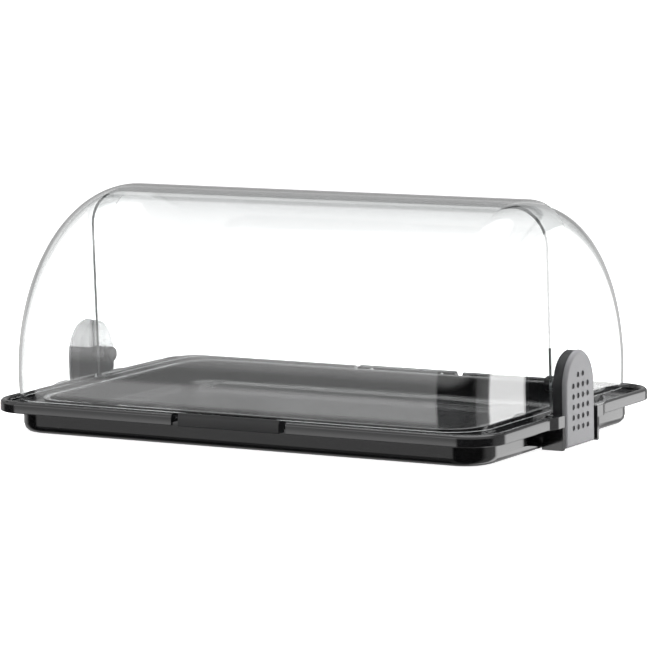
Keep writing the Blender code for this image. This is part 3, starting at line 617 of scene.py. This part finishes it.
def makeTray(setup):
    outside = boxOf("serving_tray")[1]
    bpy.ops.object.select_all(action="DESELECT")
    bpy.ops.mesh.primitive_plane_add(size=2, location=(0, 0, outside.z))
    sheet = bpy.context.active_object
    sheet.scale = (outside.x, outside.y, 1)
    settle(sheet)
    openEdit(sheet, "VERT")
    bpy.ops.mesh.select_all(action="SELECT")
    bpy.ops.mesh.bevel(
        offset=setup["corner"], segments=setup["cornerSteps"], profile=0.5, affect="VERTICES")
    bpy.ops.mesh.select_mode(type="FACE")
    bpy.ops.mesh.select_all(action="SELECT")
    inset, height = 0.0, outside.z
    for nextInset, nextHeight in setup["profile"]:
        bpy.ops.mesh.inset(thickness=nextInset - inset, depth=0, use_even_offset=True)
        if abs(nextHeight - height) > near:
            bpy.ops.transform.translate(value=(0, 0, nextHeight - height))
        inset, height = nextInset, nextHeight
    bpy.ops.mesh.select_all(action="SELECT")
    bpy.ops.mesh.normals_make_consistent(inside=False)
    closeEdit()
    if sum(face.normal.z * face.area for face in sheet.data.polygons) < 0:
        sheet.data.flip_normals()
    roundEdges(sheet, *setup["rounding"])
    useModifier(sheet, "SOLIDIFY", thickness=setup["wall"], offset=-1, use_even_offset=True)
    roundEdges(sheet, *setup["edgeRounding"])
    finishPiece(sheet, "lift_out_tray", "serving_tray")
    print("serving tray modelled:", len(sheet.data.polygons), "faces")


makeTray(tray)


# base, handles, bracket cores and pivot pieces, from the CAD solids: merged, their flat faces
# made whole and their corners smoothed
refined = {
    "merge": 0.00002,
    "flatAngle": 0.5,        # degrees; faces closer to one plane than this become one
    "handleRounding": (0.0004, 2, 50),      # width, steps, angle
    "baseAngle": 32,
}


def makeRefined(nodeName, name, rounding=None, angle=finishing["smoothAngle"]):
    source = nodes[nodeName]
    piece = source.copy()
    piece.data = source.data.copy()
    piece.parent = None
    piece.matrix_world = Matrix.Identity(4)
    bpy.context.scene.collection.objects.link(piece)
    openEdit(piece, "VERT")
    bpy.ops.mesh.select_all(action="SELECT")
    bpy.ops.mesh.remove_doubles(threshold=refined["merge"])
    bpy.ops.mesh.dissolve_limited(angle_limit=math.radians(refined["flatAngle"]))
    bpy.ops.mesh.normals_make_consistent(inside=False)
    closeEdit()
    if rounding:
        roundEdges(piece, *rounding)
    finishPiece(piece, name, nodeName, angle)
    return piece


base = makeRefined("base_tray", "moulded_base", angle=refined["baseAngle"])
for which in ("front", "rear"):
    makeRefined(which + "_handle", which + "_grip", rounding=refined["handleRounding"])
for hand in ("left", "right"):
    makeRefined(hand + "_bracket_body", hand + "_bracket_core")
    makeRefined(hand + "_pivot_spacer", hand + "_neck")
    makeRefined(hand + "_pivot_washer", hand + "_clear_ring")
    makeRefined(hand + "_pivot_pin", hand + "_pin")
print("base, handles and bracket cores ready:", len(base.data.polygons), "faces in the base")


# bracket covers: arched plates with a soft rim and round dimples
cover = {
    "arcSteps": 30,
    "arcGap": 0.00002,       # keeps the two arcs from meeting in one point
    "rim": 0.0040,
    "rimSteps": 6,
    "dimpleRadius": 0.0028,
    "dimpleDepth": 0.0018,
    "dimpleSteps": 28,
    "proud": 0.001,          # how far a cutter stands out of the plate
    "pitchY": 0.010,
    "pitchZ": 0.0104,
    "firstRow": 0.0196,
    "rows": 6,
    "columns": (-1.5, -0.5, 0.5, 1.5),  # in pitches from the middle
    "topColumns": (-0.5, 0.5),
    "screws": (0.0144, 0.0352),
    "screwHole": 0.0018,
    "screwDepth": 0.003,
    "screwSteps": 16,
    "rounding": (0.0003, 2, 60),    # width, steps, angle
    "smoothAngle": 28,
}


def makeCover(setup):
    low, high = boxOf("right_bracket_cover")
    outer, thickness, halfWidth = high.x, high.x - low.x, high.y
    bpy.ops.object.select_all(action="DESELECT")
    bpy.ops.mesh.primitive_cube_add(
        size=1, location=(outer - thickness / 2, 0, (low.z + pivotHeight + halfWidth) / 2))
    plate = bpy.context.active_object
    plate.scale = (thickness, 2 * halfWidth, pivotHeight + halfWidth - low.z)
    settle(plate)
    openEdit(plate, "EDGE")
    selectEdges(plate, lambda a, b: min(a.z, b.z) > pivotHeight and abs(a.x - b.x) > near)
    bpy.ops.mesh.bevel(
        offset=halfWidth - setup["arcGap"], segments=setup["arcSteps"], profile=0.5, affect="EDGES")
    bpy.ops.mesh.select_mode(type="VERT")
    bpy.ops.mesh.select_all(action="DESELECT")
    shape = bmesh.from_edit_mesh(plate.data)
    for vert in shape.verts:
        vert.select_set(vert.co.z > pivotHeight + near)
    bmesh.update_edit_mesh(plate.data)
    bpy.ops.transform.resize(
        value=(1, 1, (high.z - pivotHeight) / halfWidth), center_override=(0, 0, pivotHeight))
    bpy.ops.mesh.select_mode(type="EDGE")
    selectEdges(plate, lambda a, b: min(a.x, b.x) > outer - near)
    bpy.ops.mesh.bevel(offset=setup["rim"], segments=setup["rimSteps"], profile=0.5, affect="EDGES")
    closeEdit()

    cutters = []
    depth, proud = setup["dimpleDepth"], setup["proud"]
    for row in range(setup["rows"]):
        height = setup["firstRow"] + row * setup["pitchZ"]
        for column in setup["topColumns" if row == setup["rows"] - 1 else "columns"]:
            place = (outer - depth / 2 + proud, column * setup["pitchY"], height)
            cutters.append(addRod(setup["dimpleSteps"], setup["dimpleRadius"], depth + 2 * proud, place))
    for height in setup["screws"]:
        place = (outer - thickness, 0, height)
        cutters.append(addRod(setup["screwSteps"], setup["screwHole"], 2 * setup["screwDepth"], place))
    cutAway(plate, joinAll(cutters))
    roundEdges(plate, *setup["rounding"])
    return plate


rightCover = makeCover(cover)
leftCover = copyTurned(rightCover, "leftCover")
finishPiece(rightCover, "right_dimpled_plate", "right_bracket_cover", cover["smoothAngle"])
finishPiece(leftCover, "left_dimpled_plate", "left_bracket_cover", cover["smoothAngle"])
print("bracket covers modelled:", len(rightCover.data.polygons), "faces each")


# knobs: domed towards the middle, with a ring in the dome, bored for the pin
knob = {
    "steps": 56,
    "dome": 0.0016,
    "domeSteps": 7,
    "seat": 0.0008,
    "seatSteps": 3,
    "flat": -0.999,          # faces that point inwards at least this much are the dome's flat
    "ringInset": 0.0016,
    "ringWidth": 0.0005,
    "ringDepth": 0.0004,
    "bore": 0.0043,
    "boreDepth": 0.0058,
    "boreSteps": 40,
}


def makeKnob(setup):
    low, high = boxOf("right_knob")
    thickness = high.x - low.x
    piece = addRod(setup["steps"], high.y, thickness, (high.x - thickness / 2, 0, pivotHeight))
    settle(piece)
    piece.data.materials.append(knobNylon)
    openEdit(piece, "EDGE")
    selectEdges(piece, lambda a, b: max(a.x, b.x) < low.x + near)
    bpy.ops.mesh.bevel(offset=setup["dome"], segments=setup["domeSteps"], profile=0.5, affect="EDGES")
    selectEdges(piece, lambda a, b: min(a.x, b.x) > high.x - near)
    bpy.ops.mesh.bevel(offset=setup["seat"], segments=setup["seatSteps"], profile=0.5, affect="EDGES")
    bpy.ops.mesh.select_mode(type="FACE")
    selectFaces(piece, lambda c, n: n.x < setup["flat"])
    bpy.ops.mesh.inset(thickness=setup["ringInset"], depth=0)
    bpy.ops.mesh.inset(thickness=setup["ringWidth"], depth=-setup["ringDepth"])
    closeEdit()
    mouth = (high.x, 0, pivotHeight)
    cutAway(piece, addRod(setup["boreSteps"], setup["bore"], 2 * setup["boreDepth"], mouth))
    return piece


rightKnob = makeKnob(knob)
leftKnob = copyTurned(rightKnob, "leftKnob")
finishPiece(rightKnob, "right_round_knob", "right_knob")
finishPiece(leftKnob, "left_round_knob", "left_knob")
print("knobs modelled")

bpy.ops.object.select_all(action="DESELECT")
